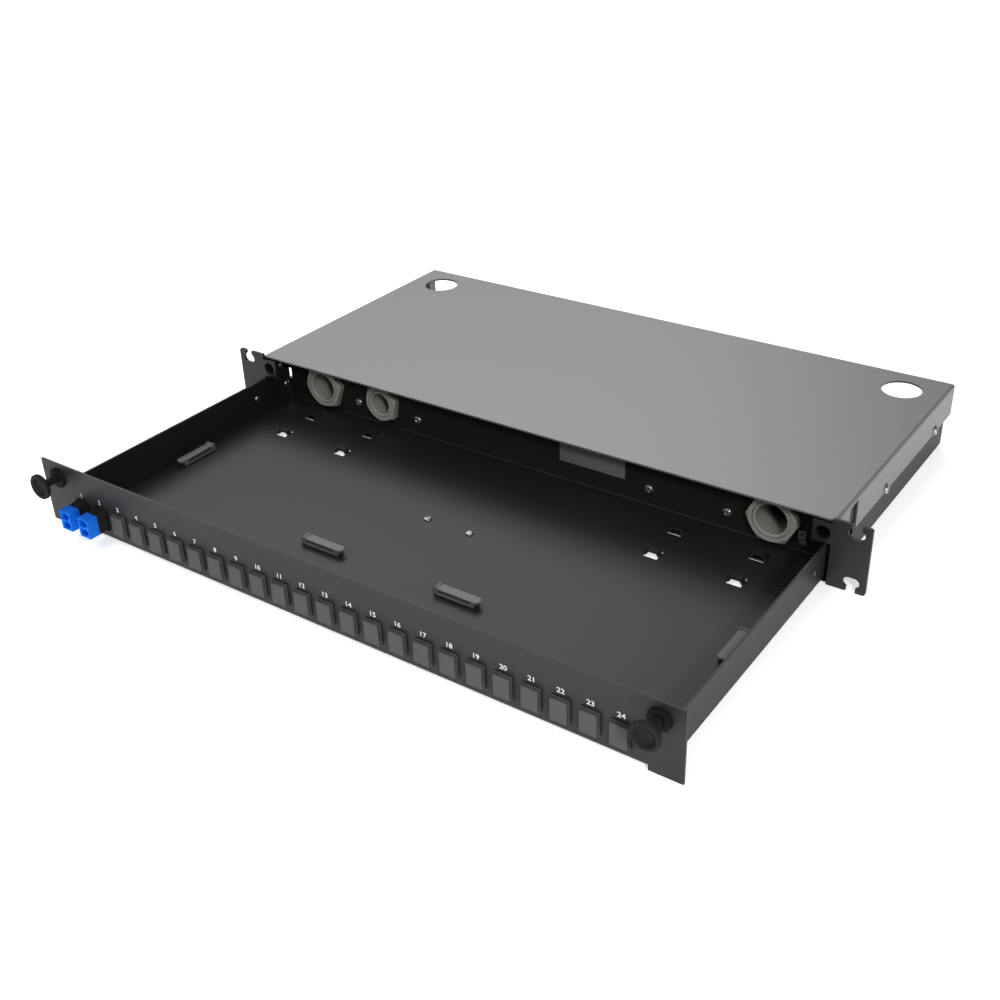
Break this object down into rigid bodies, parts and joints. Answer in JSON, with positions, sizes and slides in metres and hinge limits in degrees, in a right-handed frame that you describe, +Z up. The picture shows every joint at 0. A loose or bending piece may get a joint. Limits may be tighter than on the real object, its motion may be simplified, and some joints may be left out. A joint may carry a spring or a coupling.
{
  "type": "sliding fibre patch panel",
  "caption": "One-unit rack fibre panel with a sliding tray, adapter openings with blanking plugs, duplex adapters, cable glands, open-slot rack ears and push latches.",
  "frame": {"origin": "on the base pan's underside, midway between the housing's sides and midway between the cover's front and rear edges", "axes": "+X to the right seen from the front, +Y to the rear (the way the tray slides in), +Z up"},
  "size_m": [0.4826, 0.4113, 0.0437],
  "materials": {
    "cover_coat": "fine-textured grey powder coat",
    "body_coat": "fine-textured dark grey powder coat",
    "guide_steel": "plain zinc-coated steel",
    "fastener_zinc": "bright zinc",
    "bright_metal": "tinned and bright",
    "ceramic": "smooth white ceramic",
    "seal_rubber": "soft black rubber",
    "gland_plastic": "light warm grey nylon",
    "plug_plastic": "matt mid grey",
    "adapter_plastic": "satin blue",
    "grommet_plastic": "satin black nylon",
    "knob_plastic": "satin black nylon",
    "saddle_plastic": "matt grey nylon"
  },
  "bodies": {
    "housing": {"base_pan": "body_coat", "housing_screws": "fastener_zinc", "left_rack_ear": "body_coat", "left_slide_guide": "guide_steel", "right_rack_ear": "body_coat", "right_slide_guide": "guide_steel", "top_cover": "cover_coat"},
    "tray": {"adapter_clips": "bright_metal", "alignment_sleeves": "ceramic", "blank_plug_03": "plug_plastic", "blank_plug_04": "plug_plastic", "blank_plug_05": "plug_plastic", "blank_plug_06": "plug_plastic", "blank_plug_07": "plug_plastic", "blank_plug_08": "plug_plastic", "blank_plug_09": "plug_plastic", "blank_plug_10": "plug_plastic", "blank_plug_11": "plug_plastic", "blank_plug_12": "plug_plastic", "blank_plug_13": "plug_plastic", "blank_plug_14": "plug_plastic", "blank_plug_15": "plug_plastic", "blank_plug_16": "plug_plastic", "blank_plug_17": "plug_plastic", "blank_plug_18": "plug_plastic", "blank_plug_19": "plug_plastic", "blank_plug_20": "plug_plastic", "blank_plug_21": "plug_plastic", "blank_plug_22": "plug_plastic", "blank_plug_23": "plug_plastic", "blank_plug_24": "plug_plastic", "earth_tab": "bright_metal", "gland_inner_left_body": "gland_plastic", "gland_inner_left_cap_nut": "gland_plastic", "gland_inner_left_lock_nut": "gland_plastic", "gland_outer_left_body": "gland_plastic", "gland_outer_left_cap_nut": "gland_plastic", "gland_outer_left_lock_nut": "gland_plastic", "gland_right_body": "gland_plastic", "gland_right_cap_nut": "gland_plastic", "gland_right_lock_nut": "gland_plastic", "gland_seals": "seal_rubber", "lc_adapter_1": "adapter_plastic", "lc_adapter_2": "adapter_plastic", "left_latch_grommet": "grommet_plastic", "right_latch_grommet": "grommet_plastic", "saddle_base_front_left": "saddle_plastic", "saddle_base_front_right": "saddle_plastic", "saddle_base_side_left": "saddle_plastic", "saddle_base_side_right": "saddle_plastic", "side_wall_rivets": "fastener_zinc", "sliding_tray": "body_coat", "splice_tray_screws": "fastener_zinc", "tie_off_screws": "fastener_zinc"},
    "left_latch": {"left_latch_plunger": "knob_plastic"},
    "right_latch": {"right_latch_plunger": "knob_plastic"},
    "saddle_front_left": {"saddle_arm_front_left": "saddle_plastic"},
    "saddle_front_right": {"saddle_arm_front_right": "saddle_plastic"},
    "saddle_side_left": {"saddle_arm_side_left": "saddle_plastic"},
    "saddle_side_right": {"saddle_arm_side_right": "saddle_plastic"}
  },
  "joints": [
    {"name": "tray_slide", "type": "slide", "parent": "housing", "child": "tray", "axis": [0, 1, 0], "range_m": [0, 0.1875]},
    {"name": "left_latch_push", "type": "slide", "parent": "tray", "child": "left_latch", "axis": [0, 1, 0], "range_m": [0, 0.0095]},
    {"name": "right_latch_push", "type": "slide", "parent": "tray", "child": "right_latch", "axis": [0, 1, 0], "range_m": [0, 0.0095]},
    {"name": "saddle_front_left_hinge", "type": "hinge", "parent": "tray", "child": "saddle_front_left", "pos_m": [-0.063, -0.233, 0.0073], "axis": [0, -1, 0], "range_deg": [0, 90]},
    {"name": "saddle_front_right_hinge", "type": "hinge", "parent": "tray", "child": "saddle_front_right", "pos_m": [0.038, -0.233, 0.0073], "axis": [0, -1, 0], "range_deg": [0, 90]},
    {"name": "saddle_side_left_hinge", "type": "hinge", "parent": "tray", "child": "saddle_side_left", "pos_m": [-0.203, -0.1785, 0.0073], "axis": [-1, 0, 0], "range_deg": [0, 90]},
    {"name": "saddle_side_right_hinge", "type": "hinge", "parent": "tray", "child": "saddle_side_right", "pos_m": [0.203, -0.1785, 0.0073], "axis": [-1, 0, 0], "range_deg": [0, 90]}
  ]
}
